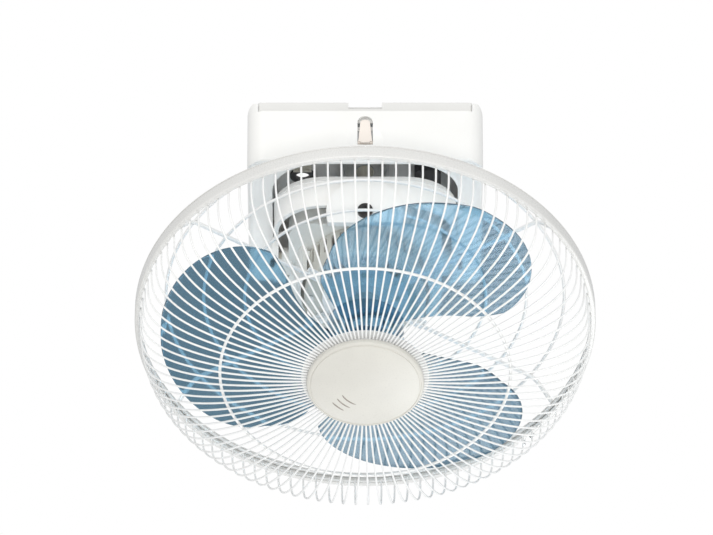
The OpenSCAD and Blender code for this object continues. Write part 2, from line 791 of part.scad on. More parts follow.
module rear_struts() {
    bend_r = max(rear_ring_r) + 4;
    end_r = rim_ring_r - ring_wire_r - strut_d / 2 - 0.05;
    run = norm([end_r - bend_r, rear_rim - strut_z]);
    color(white) in_head() for (a = strut_angles()) rotate(a) {
        translate([guard_plate_r - 10, 0, -strut_z]) rotate([0, 90, 0])
            cylinder(d = strut_d, h = bend_r - guard_plate_r + 10);
        translate([bend_r, 0, -strut_z]) sphere(d = strut_d);
        translate([bend_r, 0, -strut_z])
            rotate([0, 90 + atan2(rear_rim - strut_z, end_r - bend_r), 0])
                cylinder(d = strut_d, h = run);
    }
}

module rear_rings() {
    color(white) in_head() for (r = rear_ring_r)
        translate([0, 0, -rear_ring_z]) wire_ring(r, ring_wire_r);
}

// The outer rings of the rear and the front guard, side by side in the trim band
module rim_rings() {
    color(white) in_head() for (z = [rear_rim, front_rim])
        translate([0, 0, -z]) wire_ring(rim_ring_r, ring_wire_r);
}

module trim_band() {
    lip = band_r - wire_end_r - wire_r - 0.1;
    color(white) in_head() translate([0, 0, -rim_drop]) rotate_extrude() {
        translate([band_r - band_t, -band_w / 2]) square([band_t, band_w]);
        for (z = [-band_w / 2, band_w / 2 - band_t])
            translate([band_r - lip, z]) square([lip, band_t]);
    }
}

module band_clamp() {
    color(steel) in_head() rotate(46) translate([band_r + 0.02, 0, -rim_drop]) {
        for (y = [-7, 3]) translate([0, y, -5]) cube([7, 4, 10]);
        translate([0, -7, -5]) cube([1.2, 14, 10]);
        translate([4.2, -9, 0]) rotate([-90, 0, 0]) cylinder(r = 1.5, h = 18);
        translate([4.2, -10, 0]) rotate([-90, 0, 0]) cylinder(r = 2.6, h = 3);
    }
}

module front_rings() {
    slope = lookup(mid_ring_r + 1, wire_profile) - lookup(mid_ring_r, wire_profile);
    rise = (wire_r + ring_wire_r) * norm([1, slope]) + 0.08;
    color(white) in_head() {
        translate([0, 0, -inner_ring_z]) wire_ring(inner_ring_r, ring_wire_r);
        translate([0, 0, rise - lookup(mid_ring_r, wire_profile)])
            wire_ring(mid_ring_r, ring_wire_r);
    }
}

// Distance below the pivot of the front guard at radius r: flat in the middle, steep at the rim
function guard_depth_at(r) =
    let (q = (r - wire_in_r) / (wire_end_r - wire_in_r))
    front_rim + guard_depth * pow(max(0, 1 - pow(q, face_power)), side_power);

module front_wires() {
    line = [for (p = wire_profile) [p.x, -p.y]];
    color(white) in_head() for (i = [0:wire_count - 1]) rotate(360 * i / wire_count)
        translate([0, wire_r, 0]) rotate([90, 0, 0]) linear_extrude(wire_d)
            polygon(strip(line, wire_d));
}

module cap_plate() {
    color(white) in_head() translate([0, 0, -cap_plate_z]) linear_extrude(cap_plate_t) difference() {
        circle(cap_d / 2 + 5);
        circle(14);
        for (a = [0:120:240]) rotate(a) translate([wire_in_r - 10, 0]) circle(1.6);
    }
}

module cap_screws() {
    color(steel) in_head() for (a = [0:120:240]) rotate(a) translate([wire_in_r - 10, 0, 0]) {
        on_axis(cap_plate_z - cap_plate_t - 1.8, cap_plate_z - cap_plate_t, 3);
        on_axis(cap_plate_z - cap_plate_t - eps, cap_plate_z + 5, 1.5);
    }
}

module hub_cap() {
    r = cap_d / 2;
    dome = 6;
    dome_r = (r * r + dome * dome) / (2 * dome);
    edge = cap_back + 5;
    reach = asin(r / dome_r);
    inner = asin((r - 4) / dome_r);
    centre = -edge - dome + dome_r;
    groove_z = centre - dome_r * cos(inner) + 0.8;
    color([0.93, 0.92, 0.89]) in_head() difference() {
        union() {
            rotate_extrude() polygon(concat(
                arc(0, centre, dome_r, -90, -90 + inner, 8),
                [[r - 4, groove_z], [r - 2.8, groove_z]],
                arc(0, centre, dome_r, -90 + asin((r - 2.8) / dome_r), -90 + reach, 2),
                [[r, -cap_back], [r - 22, -cap_back], [r - 22, -cap_back - 2.5],
                 [0, -cap_back - 2.5]]));
            for (a = [0:120:240]) rotate(a) translate([wire_in_r - 10, 0, 0])
                on_axis(cap_plate_z, cap_back + 1, post_r);
        }
        for (a = [0:120:240]) rotate(a) translate([wire_in_r - 10, 0, 0])
            on_axis(cap_plate_z - 1, cap_plate_z + 5.5, 1.52);
    }
}

// ---- Rotor ----

module motor_shaft() {
    color(steel) in_head() difference() {
        on_axis(rear_bearing_z, shaft_end, shaft_r);
        translate([-20, 0, -pin_z]) rotate([0, 90, 0]) cylinder(r = 1.52, h = 40);
    }
}

module rotor_core() {
    color([0.6, 0.6, 0.62]) in_head() difference() {
        union() {
            on_axis(core_top, core_top + core_len, bore_r - 0.6);
            on_axis(core_top - 3, core_top + core_len + 2, bore_r - 4);
        }
        on_axis(core_top - 4, core_top + core_len + 3, shaft_r + 0.02);
    }
}

module drive_pin() {
    color(steel) in_head() translate([-11, 0, -pin_z]) rotate([0, 90, 0]) cylinder(r = 1.5, h = 22);
}

// Where a blade lies: u runs from -1 to 1 across it, r is the radius
function blade_angle(r, u) =
    let (q = max(0, (r - belly_r) / (blade_r - belly_r)),
         half = r < belly_r ? blade_half - (belly_r - r) * 0.14 : blade_half * sqrt(1 - q * q))
    u * half - blade_sweep * max(0, (swept_r - r) / (swept_r - blade_root));
function blade_twist(r) =
    blade_pitch + (root_pitch - blade_pitch) * max(0, 1 - (r - blade_root) / 60);
function blade_depth(r, u) =
    blade_crest - blade_dish * pow((r - crest_r) / (blade_r - crest_r), 2)
    - r * sin(blade_angle(r, u)) * tan(blade_twist(r)) - 3 * (1 - u * u);
function blade_point(r, u, side) =
    let (a = blade_angle(r, u))
    [r * cos(a), r * sin(a), -blade_depth(r, u) - side * blade_t / 2];

module blade() {
    rows = 12;
    cols = 9;
    radii = [for (i = [0:rows]) blade_root + (blade_r - 0.6 - blade_root) * sin(90 * i / rows)];
    grid = [for (side = [-1, 1], r = radii, j = [0:cols]) blade_point(r, 2 * j / cols - 1, side)];
    c = cols + 1;
    n = (rows + 1) * c;
    skin = [for (i = [0:rows - 1], j = [0:cols - 1]) let (k = i * c + j)
        each [[k, k + 1, k + c + 1], [k, k + c + 1, k + c]]];
    edge = concat([for (j = [0:cols]) j], [for (i = [1:rows]) i * c + cols],
                  [for (j = [cols - 1:-1:0]) rows * c + j], [for (i = [rows - 1:-1:1]) i * c]);
    m = len(edge);
    wall = [for (k = [0:m - 1]) let (a = edge[k], b = edge[(k + 1) % m])
        each [[a, b + n, b], [a, a + n, b + n]]];
    polyhedron(grid, concat([for (f = skin) [f[0], f[1], f[2]]],
                            [for (f = skin) [f[0] + n, f[2] + n, f[1] + n]],
                            [for (f = wall) [f[0], f[1], f[2]]]));
}

module blade_set() {
    color(blue) in_head() difference() {
        union() {
            rotate_extrude() polygon(concat(
                [[hub_r - 3, -hub_back], [hub_r, -hub_back]],
                arc(hub_r - 6, -hub_front + 6, 6, 0, -90, 5),
                [[0, -hub_front], [0, -hub_front + 3]],
                arc(hub_r - 7, -hub_front + 7, 4, -90, 0, 4)));
            on_axis(hub_back + 4, hub_front - 1, 9);
            for (a = [0:60:300]) rotate(a) translate([8, -1, -hub_front + 1])
                cube([hub_r - 10, 2, 14]);
            for (a = [0:120:240]) rotate(blade_turn + a) blade();
        }
        on_axis(hub_back, hub_front + 1, shaft_r + 0.02);
        translate([-15, -1.6, -pin_z - 1.6]) cube([30, 3.2, 10]);
    }
}

module blade_nut() {
    color(blue) in_head() difference() {
        rotate_extrude() polygon(concat([[0, -hub_front], [15, -hub_front], [15, -hub_front - 3]],
            arc(0, -hub_front - 3, 13, 0, -90, 8)));
        on_axis(hub_front - 1, shaft_end + 0.2, shaft_r + 0.02);
    }
}

// ---- Crank ----

module orbit_crank() {
    color(steel) in_head() {
        translate([0, 0, crank_z - 12]) cylinder(r = 3.5, h = 12 + eps);
        translate([0, 0, crank_z]) cylinder(r = 12, h = 4);
        translate([0, -crank_arm, crank_z]) cylinder(r = 2.5, h = crank_drop - crank_z);
        translate([0, -crank_arm, crank_drop]) sphere(ball_r);
    }
}

ceiling_plate();
hanger_bracket();
hanger_bolts();
drive_post();
cable_grommet();
terminal_block();
run_capacitor();
base_cover();
roll_pins();
roll_nuts();
release_tab();
gimbal_ring();
roll_bushes();
pitch_pins();
pitch_clips();
head_yoke();
pitch_bushes();
orbit_gear_motor();
gear_motor_screws();
motor_rear_cover();
motor_front_cover();
motor_screws();
stator_core();
stator_coils();
ball_bearing(rear_bearing_z);  // rear_bearing
ball_bearing(front_bearing_z);  // front_bearing
guard_plate();
guard_nut();
rear_struts();
rear_rings();
rim_rings();
trim_band();
band_clamp();
front_rings();
front_wires();
cap_plate();
cap_screws();
hub_cap();
motor_shaft();
rotor_core();
drive_pin();
blade_set();
blade_nut();
orbit_crank();
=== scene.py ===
# %% [markdown]
# # An orbital ceiling fan, dressed for its photograph
#
# The rigid model comes in first, already at its real size and place. This lesson then gives it
# a camera, soft light, worked surfaces for the guard, the blades, the cap and the tab, and a
# finish for every piece. The pieces' lengths are in millimetres and turn into metres by MM.

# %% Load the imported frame
import json
from math import cos, pi, radians, sin

import bmesh
import bpy
import numpy as np
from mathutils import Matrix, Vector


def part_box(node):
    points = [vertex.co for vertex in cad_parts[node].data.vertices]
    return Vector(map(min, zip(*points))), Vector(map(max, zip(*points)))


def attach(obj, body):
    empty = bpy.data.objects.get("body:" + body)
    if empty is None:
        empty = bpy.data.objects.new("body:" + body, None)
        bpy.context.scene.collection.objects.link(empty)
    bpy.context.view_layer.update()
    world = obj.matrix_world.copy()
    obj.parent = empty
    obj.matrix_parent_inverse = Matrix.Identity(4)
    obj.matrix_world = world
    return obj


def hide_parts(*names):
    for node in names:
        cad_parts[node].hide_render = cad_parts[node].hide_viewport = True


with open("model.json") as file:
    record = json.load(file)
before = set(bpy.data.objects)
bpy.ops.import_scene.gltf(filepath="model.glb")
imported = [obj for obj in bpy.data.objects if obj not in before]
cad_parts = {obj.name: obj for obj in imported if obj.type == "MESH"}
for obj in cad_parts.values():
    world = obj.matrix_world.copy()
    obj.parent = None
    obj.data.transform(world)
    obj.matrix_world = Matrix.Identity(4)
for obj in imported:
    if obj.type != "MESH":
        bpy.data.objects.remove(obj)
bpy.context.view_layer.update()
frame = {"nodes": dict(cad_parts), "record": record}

MM = 0.001
nodes = frame["nodes"]

# %% [markdown]
# ## Camera
#
# The photograph looks up at the fan from the front and below, from far enough away that lines
# hardly converge. A long lens eight metres away gives the same view. The camera's tilt and the
# point it aims at were worked out from the outline of the guard and the corners of the base.

# %% Camera
VIEW_UP = radians(31.19)          # how far the lens points above the horizon
AWAY = 8.0                        # metres from the fan
AIM_X, AIM_UP = -8.46 * MM, -104.05 * MM    # the aim, right and up from the origin in the view
FOCAL, PICTURE = 8069.7, 713      # focal length and width of the photograph, in its pixels
SENSOR = 36                       # millimetres across

camera_data = bpy.data.cameras.new("Camera")
camera_data.sensor_width = SENSOR
camera_data.lens = SENSOR * FOCAL / PICTURE
camera_data.clip_end = 200
camera = bpy.data.objects.new("Camera", camera_data)
camera.location = (AIM_X, -AIM_UP * sin(VIEW_UP) - AWAY * cos(VIEW_UP),
                   AIM_UP * cos(VIEW_UP) - AWAY * sin(VIEW_UP))
camera.rotation_euler = (pi / 2 + VIEW_UP, 0, 0)
bpy.context.scene.collection.objects.link(camera)
bpy.context.scene.camera = camera
print("camera", [round(v, 3) for v in camera.location], "lens", round(camera_data.lens, 1))

# %% [markdown]
# ## Floor, backdrop and light
#
# The fan hangs in front of a pure white backdrop. The world is white where the lens sees it
# directly, a soft grey for what it lights or is mirrored in, and a deeper grey for rays that have
# come through clear plastic, because the blue blades in the photograph are darker than the white
# around them. The pale floor is far below, so that the camera stays above it when it goes under
# the fan.
#
# Six soft boxes light the fan. Front shines along the lens's own slope, so that its light reaches
# into the opening of the base. The two sheens stand low behind the fan, where its blades mirror
# them to the lens.

# %% World
world = bpy.data.worlds.new("Backdrop")
bpy.context.scene.world = world
world.use_nodes = True
w = world.node_tree
w.nodes.clear()
path = w.nodes.new("ShaderNodeLightPath")


def glow(color, strength):
    """An even light from all round."""
    light = w.nodes.new("ShaderNodeBackground")
    light.inputs["Color"].default_value = (*color, 1)
    light.inputs["Strength"].default_value = strength
    return light.outputs[0]


def either(ray, then, otherwise):
    """One light for a kind of ray, and another for the rest."""
    mix = w.nodes.new("ShaderNodeMixShader")
    w.links.new(path.outputs[ray], mix.inputs[0])
    w.links.new(otherwise, mix.inputs[1])
    w.links.new(then, mix.inputs[2])
    return mix.outputs[0]


felt = either("Is Transmission Ray", glow((0.96, 0.99, 1.0), 0.29), glow((0.98, 0.99, 1.0), 0.72))
out = w.nodes.new("ShaderNodeOutputWorld")
w.links.new(either("Is Camera Ray", glow((1, 1, 1), 1.0), felt), out.inputs[0])
bpy.context.scene.view_settings.view_transform = "Standard"
print("world of", len(w.nodes), "nodes")


# %% Floor and lamps
LIT = np.array([0.0, 0.0, -0.12])           # the place that every lamp is turned to
FLOOR_UP, FLOOR_HALF = -12, 60


def lamp(name, place, wide, high, power, tint):
    """A soft box at a place in metres, turned to the fan, out of the lens's sight."""
    data = bpy.data.lights.new(name, "AREA")
    data.shape = "RECTANGLE"
    data.size, data.size_y, data.energy, data.color = wide, high, power, tint
    obj = bpy.data.objects.new(name, data)
    obj.location = place
    aim = LIT - np.array(place)
    flat = np.hypot(aim[0], aim[1])
    obj.rotation_euler = (np.arctan2(flat, -aim[2]), 0, np.arctan2(-aim[0], aim[1]))
    obj.visible_camera = False
    bpy.context.scene.collection.objects.link(obj)


lamp("Key", (-1.3, -3.2, 0.9), 1.6, 1.6, 20, (1.0, 0.985, 0.96))
lamp("Fill", (2.6, -2.2, -0.4), 2.2, 2.2, 8, (0.96, 0.98, 1.0))
lamp("Front", (0.1, -3.3, -2.1), 0.9, 0.7, 44, (1.0, 0.99, 0.97))
lamp("Low", (0.3, -1.6, -2.9), 2.4, 1.6, 14, (1.0, 0.99, 0.97))
lamp("Sheen_right", (0.85, 1.4, -2.45), 1.3, 1.5, 26, (0.94, 0.97, 1.0))
lamp("Sheen_back", (-0.4, 2.2, -2.0), 1.0, 1.0, 7, (0.96, 0.98, 1.0))

floor_mesh = bpy.data.meshes.new("Floor")
floor_mesh.from_pydata([(x * FLOOR_HALF, y * FLOOR_HALF, FLOOR_UP)
                        for x, y in ((-1, -1), (1, -1), (1, 1), (-1, 1))], [], [(0, 1, 2, 3)])
floor = bpy.data.objects.new("Floor", floor_mesh)
bpy.context.scene.collection.objects.link(floor)
print("floor at", floor_mesh.vertices[0].co.z, "m")


# %% [markdown]
# ## Finishes
#
# A finish is never one flat number. Moulded plastic and paint have clouds of slightly
# different tone, a fine grain that catches the light, and patches that are a little glossier.
# One maker's recipe covers most of them: a large soft noise picks between two close tones, and
# a small noise moves the roughness and the bump. What stays the same all over the surface, such
# as metalness, is set on the shader's own socket.

# %% Recipe for paint, plastic and plain metal
paint = {}                        # the finish of each material slot
NOISE_LOW, NOISE_HIGH = 0.3, 0.7  # a noise seldom leaves this range


def finish(name, light, dark, rough, grain, bump, cloud=0.08, metal=0.0, coat=0.0, **sockets):
    """Clouds of size cloud (metres) pick between two tones; grain (metres) sets bump and gloss.

    rough is a pair: the roughness in the smoothest and in the dullest patches."""
    mat = paint[name] = bpy.data.materials.new(name + "_finish")
    mat.use_nodes = True
    n, l = mat.node_tree.nodes, mat.node_tree.links
    shader = n["Principled BSDF"]
    shader.inputs["Metallic"].default_value = metal
    shader.inputs["Coat Weight"].default_value = coat
    for socket, value in sockets.items():
        shader.inputs[socket.replace("_", " ")].default_value = value
    place = n.new("ShaderNodeTexCoord")
    big = n.new("ShaderNodeTexNoise")
    big.inputs["Scale"].default_value = 1 / cloud
    big.inputs["Detail"].default_value = 3
    tone = n.new("ShaderNodeValToRGB")
    tone.color_ramp.elements[0].position = NOISE_LOW
    tone.color_ramp.elements[1].position = NOISE_HIGH
    tone.color_ramp.elements[0].color = (*dark, 1)
    tone.color_ramp.elements[1].color = (*light, 1)
    small = n.new("ShaderNodeTexNoise")
    small.inputs["Scale"].default_value = 1 / grain
    small.inputs["Detail"].default_value = 4
    gloss = n.new("ShaderNodeMapRange")
    gloss.inputs["From Min"].default_value = NOISE_LOW
    gloss.inputs["From Max"].default_value = NOISE_HIGH
    gloss.inputs["To Min"].default_value, gloss.inputs["To Max"].default_value = rough
    relief = n.new("ShaderNodeBump")
    relief.inputs["Strength"].default_value = 0.5
    relief.inputs["Distance"].default_value = bump
    l.new(place.outputs["Object"], big.inputs["Vector"])
    l.new(place.outputs["Object"], small.inputs["Vector"])
    l.new(big.outputs["Fac"], tone.inputs["Fac"])
    l.new(tone.outputs["Color"], shader.inputs["Base Color"])
    l.new(small.outputs["Fac"], gloss.inputs["Value"])
    l.new(gloss.outputs["Result"], shader.inputs["Roughness"])
    l.new(small.outputs["Fac"], relief.inputs["Height"])
    l.new(relief.outputs["Normal"], shader.inputs["Normal"])
    return mat


# %% White mouldings and painted steel
finish("cover_plastic", (0.93, 0.925, 0.905), (0.90, 0.895, 0.87),
       (0.28, 0.42), 0.0012, 0.00003, coat=0.15)
finish("tab_plastic", (0.93, 0.86, 0.79), (0.88, 0.80, 0.73),
       (0.28, 0.4), 0.001, 0.00002)
finish("plate_paint", (0.79, 0.785, 0.765), (0.75, 0.745, 0.725),
       (0.4, 0.55), 0.0009, 0.00005)
finish("yoke_paint", (0.86, 0.86, 0.83), (0.80, 0.80, 0.77),
       (0.35, 0.5), 0.001, 0.00004)
finish("motor_paint", (0.66, 0.65, 0.59), (0.59, 0.58, 0.53),
       (0.38, 0.55), 0.0016, 0.00008)
finish("guard_paint", (0.92, 0.92, 0.91), (0.87, 0.87, 0.86),
       (0.25, 0.4), 0.0006, 0.00003, cloud=0.05, coat=0.2)
# painted shade: the band gets a greyer white than the other mouldings, standing for the shade it
# lies in against the bright base
finish("band_plastic", (0.76, 0.755, 0.735), (0.71, 0.705, 0.685),
       (0.22, 0.34), 0.0012, 0.00002, coat=0.25)
finish("cap_plastic", (0.68, 0.665, 0.61), (0.64, 0.625, 0.575),
       (0.25, 0.36), 0.0014, 0.00002, cloud=0.04, Specular_IOR_Level=0.35)

print("finishes so far", len(paint))

# %% Small parts in plastic, rubber and steel
finish("guide_plastic", (0.84, 0.81, 0.71), (0.78, 0.75, 0.65),
       (0.45, 0.6), 0.0008, 0.00003, cloud=0.02)
finish("grommet_rubber", (0.08, 0.08, 0.078), (0.06, 0.06, 0.06),
       (0.6, 0.8), 0.0006, 0.00004, cloud=0.01)
finish("black_plastic", (0.06, 0.06, 0.065), (0.045, 0.045, 0.05),
       (0.4, 0.55), 0.0007, 0.00004, cloud=0.03)
finish("zinc_steel", (0.66, 0.67, 0.66), (0.52, 0.54, 0.55),
       (0.25, 0.45), 0.0005, 0.00003, cloud=0.012, metal=1.0)
finish("pivot_steel", (0.045, 0.042, 0.040), (0.018, 0.017, 0.017),
       (0.28, 0.5), 0.0006, 0.00004, cloud=0.008, metal=0.4)
finish("motor_can", (0.62, 0.62, 0.61), (0.50, 0.50, 0.50),
       (0.3, 0.45), 0.0006, 0.00003, cloud=0.02, metal=0.9)
finish("bearing_steel", (0.60, 0.61, 0.62), (0.50, 0.51, 0.53),
       (0.18, 0.3), 0.0003, 0.00001, cloud=0.01, metal=1.0)
print("finishes so far", len(paint))


# %% [markdown]
# Two finishes have a direction. A motor core is a stack of thin steel sheets, and a coil is
# hundreds of turns of enamelled wire. Both are drawn by a wave that runs along the
# head's axis, which leans 15 degrees to the front, so a Mapping node leans the pattern too.

# %% Sheets of the core, turns of the coils
TILT = radians(15)


def layered(name, light, dark, pitch, rough, metal):
    """Bands of one pitch (metres) along the leaning axis cut grooves."""
    mat = finish(name, light, dark, rough, pitch * 0.7, 0.00002, cloud=0.01, metal=metal)
    n, l = mat.node_tree.nodes, mat.node_tree.links
    shader, relief = n["Principled BSDF"], n["Bump"]
    place = n.new("ShaderNodeTexCoord")
    lean = n.new("ShaderNodeMapping")
    lean.inputs["Rotation"].default_value = (TILT, 0, 0)
    wave = n.new("ShaderNodeTexWave")
    wave.bands_direction = "Z"
    wave.inputs["Scale"].default_value = pi / 10 / pitch    # its bands lie pi / (10 Scale) apart
    wave.inputs["Distortion"].default_value = 0.6
    wave.inputs["Detail Scale"].default_value = 2
    groove = n.new("ShaderNodeBump")
    groove.inputs["Strength"].default_value = 0.7
    groove.inputs["Distance"].default_value = pitch * 0.3
    l.new(place.outputs["Object"], lean.inputs["Vector"])
    l.new(lean.outputs["Vector"], wave.inputs["Vector"])
    l.new(wave.outputs["Fac"], groove.inputs["Height"])
    l.new(relief.outputs["Normal"], groove.inputs["Normal"])
    l.new(groove.outputs["Normal"], shader.inputs["Normal"])


layered("lamination_steel", (0.30, 0.30, 0.31), (0.20, 0.20, 0.22), 0.001, (0.4, 0.6), 0.8)
layered("copper_wire", (0.66, 0.27, 0.11), (0.50, 0.18, 0.07), 0.0009, (0.25, 0.4), 0.9)
print("finishes so far", len(paint))

# %% [markdown]
# The blades are clear blue plastic. Light goes through them, loses its red, and picks up
# whatever is behind. The tone is slightly deeper in wide soft clouds, and the faces are nearly
# smooth, so they mirror the sheens.

# %% Clear blue plastic
finish("blade_plastic", (0.30, 0.53, 0.69), (0.24, 0.46, 0.63),
       (0.06, 0.09), 0.012, 0.000004, cloud=0.09,
       Transmission_Weight=0.92, IOR=1.45, Specular_IOR_Level=0.6)
finish("nut_plastic", (0.30, 0.50, 0.76), (0.24, 0.43, 0.70),
       (0.16, 0.28), 0.001, 0.00002, cloud=0.02, Transmission_Weight=0.35, IOR=1.45)
floor_pale = finish("floor", (0.82, 0.82, 0.82), (0.79, 0.79, 0.79), (0.7, 0.8), 0.01, 0.0001,
                    cloud=1.5)
floor.data.materials.append(floor_pale)
print("finishes in all", len(paint))

# %% Paint the rigid pieces by their slot
for part in frame["record"]["subparts"]:
    for place in nodes[part["node"]].material_slots:
        place.material = paint[part["material_slot"]]
print("painted", len(nodes), "nodes")

# %% [markdown]
# ## Where things sit
#
# The fan head hangs 114 mm below the ceiling and leans 15 degrees to the front. Most pieces are
# round about its axis, so they are easiest to describe by a radius, an angle, and the distance s
# down the axis. One function turns such numbers into the place in the room.

# %% The leaning head
PIVOT = 114.0


def in_head(x, y, s):
    """Room coordinates in metres of a point x across, y back and s down the leaning axis."""
    return MM * np.stack([x + 0 * s, y * cos(TILT) - s * sin(TILT),
                          -PIVOT - y * sin(TILT) - s * cos(TILT)], -1)


def around(r, angle, s):
    """The same for a radius and an angle round the axis, in radians."""
    return in_head(r * np.cos(angle), r * np.sin(angle), s)


print("the pivot is at", in_head(0.0, 0.0, 0.0), "m")

# %% [markdown]
# ## One way to make every new surface
#
# A surface is a grid of points: two parameters, one row after another. Neighbouring points make
# a four-sided face, and a row or column that meets its other end closes a tube. Doing this with
# whole arrays takes no loop over points. Points that fall together, as at a pole, are merged.

# %% Grids into a piece
def quads(copies, rows, cols, close_rows, close_cols):
    """Corner numbers of every face between neighbours, for several grids of one size."""
    i = np.arange(rows if close_rows else rows - 1)[:, None]
    j = np.arange(cols if close_cols else cols - 1)[None, :]
    i2, j2 = (i + 1) % rows, (j + 1) % cols
    one = np.stack([i * cols + j, i * cols + j2, i2 * cols + j2, i2 * cols + j], -1).reshape(-1, 4)
    return (one[None] + (np.arange(copies) * rows * cols)[:, None, None]).reshape(-1, 4)


def piece(name, grids, body, slot, stands_for=(), sharp=38):
    """Joins grids (points, close_rows, close_cols) into one piece that rides on a body."""
    points, faces, start = [], [], 0
    for grid, close_rows, close_cols in grids:
        rows, cols = grid.shape[-3:-1]
        copies = grid.size // (rows * cols * 3)
        points.append(grid.reshape(-1, 3))
        faces.append(quads(copies, rows, cols, close_rows, close_cols) + start)
        start += copies * rows * cols
    points, faces = np.concatenate(points), np.concatenate(faces)
    mesh = bpy.data.meshes.new(name)
    mesh.vertices.add(len(points))
    mesh.vertices.foreach_set("co", points.ravel())
    mesh.loops.add(faces.size)
    mesh.loops.foreach_set("vertex_index", faces.ravel())
    mesh.polygons.add(len(faces))
    mesh.polygons.foreach_set("loop_start", np.arange(0, faces.size, 4))
    mesh.update(calc_edges=True)
    bm = bmesh.new()
    bm.from_mesh(mesh)
    bmesh.ops.remove_doubles(bm, verts=bm.verts, dist=1e-6)
    bmesh.ops.recalc_face_normals(bm, faces=bm.faces)
    bm.to_mesh(mesh)
    bm.free()
    mesh.polygons.foreach_set("use_smooth", np.ones(len(mesh.polygons), bool))
    mesh.set_sharp_from_angle(angle=radians(sharp))
    mesh.materials.append(paint[slot])
    obj = bpy.data.objects.new(name, mesh)
    bpy.context.scene.collection.objects.link(obj)
    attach(obj, body)
    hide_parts(*stands_for)
    print(f"{name}: {len(mesh.polygons)} faces on {body}")
    return obj


print("a tube of 3 by 8 points has", len(quads(1, 3, 8, False, True)), "faces")

# %% [markdown]
# Edges of mouldings are never knife sharp. A corner of a profile is swapped for a short curve
# that leaves one side and joins the next, with the corner itself as its guide point.

# %% Soft corners
def softened(corners, cut, steps=4, closed=True):
    """Each corner becomes a quadratic curve between points cut (mm) before and after it."""
    p = np.asarray(corners, float)
    cut = np.broadcast_to(np.asarray(cut, float), (len(p),))[:, None]
    to_last, to_next = np.roll(p, 1, 0) - p, np.roll(p, -1, 0) - p
    a = p + to_last / np.linalg.norm(to_last, axis=1, keepdims=True) * cut
    b = p + to_next / np.linalg.norm(to_next, axis=1, keepdims=True) * cut
    if not closed:
        a[0], b[0], a[-1], b[-1] = p[0], p[0], p[-1], p[-1]
    t = np.linspace(0, 1, steps + 1)[None, :, None]
    curve = (1 - t) ** 2 * a[:, None] + 2 * t * (1 - t) * p[:, None] + t ** 2 * b[:, None]
    return curve.reshape(-1, 2)


def turned(profile, steps=192, closed=True, wave=None):
    """A profile of (radius, s) points carried once round the head's axis.

    wave, a function of angle and s, is the share by which the radius swells there."""
    angle = np.linspace(0, 2 * pi, steps, endpoint=False)[:, None]
    r, s = profile[None, :, 0], profile[None, :, 1]
    r = r * (1 + (wave(angle, s) if wave else 0))
    return around(r, angle, s + 0 * angle), True, closed


print("four soft corners have", len(softened([(0, 0), (9, 0), (9, 9), (0, 9)], 1)), "points")

# %% [markdown]
# ## The wires of the guard
#
# A guard is steel wire: 105 radial wires welded to rings. Each wire is a round bar bent in its
# own plane, so a circle is carried along the bent line: one direction of the circle lies in
# the plane, square to the line, and the other points sideways. The line itself is flat over the
# cap and turns back to the rim in a round shoulder. With q from 0 at the cap to 1 at the rim, it
# lies at RIM_S + BULGE (1 - q^FLAT)^SHOULDER.

# %% Round bars along a line
def rods(line, radius, angles, sides=8):
    """A circle carried along a line of (r, s) points, turned to each of the given angles.

    A point of the circle is line + radius (cos a * normal in the plane + sin a * sideways)."""
    line = np.concatenate([line[:1], line, line[-1:]])
    thick = np.full(len(line), radius)
    thick[[0, -1]] = 0
    run = np.gradient(line, axis=0)
    run[0], run[-1] = run[1], run[-2]
    run /= np.linalg.norm(run, axis=1, keepdims=True)
    a = np.linspace(0, 2 * pi, sides, endpoint=False)
    r = line[:, 0, None] - run[:, 1, None] * np.cos(a) * thick[:, None]
    s = line[:, 1, None] + run[:, 0, None] * np.cos(a) * thick[:, None]
    side = np.sin(a) * thick[:, None]
    turn = np.asarray(angles)[:, None, None]
    return in_head(r * np.cos(turn) - side * np.sin(turn), r * np.sin(turn) + side * np.cos(turn),
                   s + 0 * turn), False, True


def ring(r, s, radius, sides=12, steps=200):
    """A wire ring: a circle of the wire's radius carried round the axis at radius r."""
    a = np.linspace(0, 2 * pi, sides, endpoint=False)
    return turned(np.stack([r + radius * np.cos(a), s + radius * np.sin(a)], -1), steps)


print("a wire ring has", ring(100, 0, 1)[0].shape[:2], "points")

# %% Radial wires of the front guard
RIM_S, WIRE_IN, WIRE_OUT = 86.7, 50.0, 219.15
BULGE, WIRES, WIRE = 80.5, 105, 1.0
FLAT, SHOULDER = 2.2, 0.3          # how long the face stays flat, how round the shoulder is


def guard_s(r):
    """Distance down the axis of the front guard at radius r."""
    q = np.clip((r - WIRE_IN) / (WIRE_OUT - WIRE_IN), 0, 1)
    return RIM_S + BULGE * (1 - q ** FLAT) ** SHOULDER


q = np.sin(np.linspace(0, pi / 2, 25))
wire_r = WIRE_IN + (WIRE_OUT - WIRE_IN) * q
wire_line = np.stack([wire_r, guard_s(wire_r)], -1)
piece("Front_wires", [rods(wire_line, WIRE, np.arange(WIRES) * 2 * pi / WIRES, sides=6)],
      "head", "guard_paint", ["front_wires"])

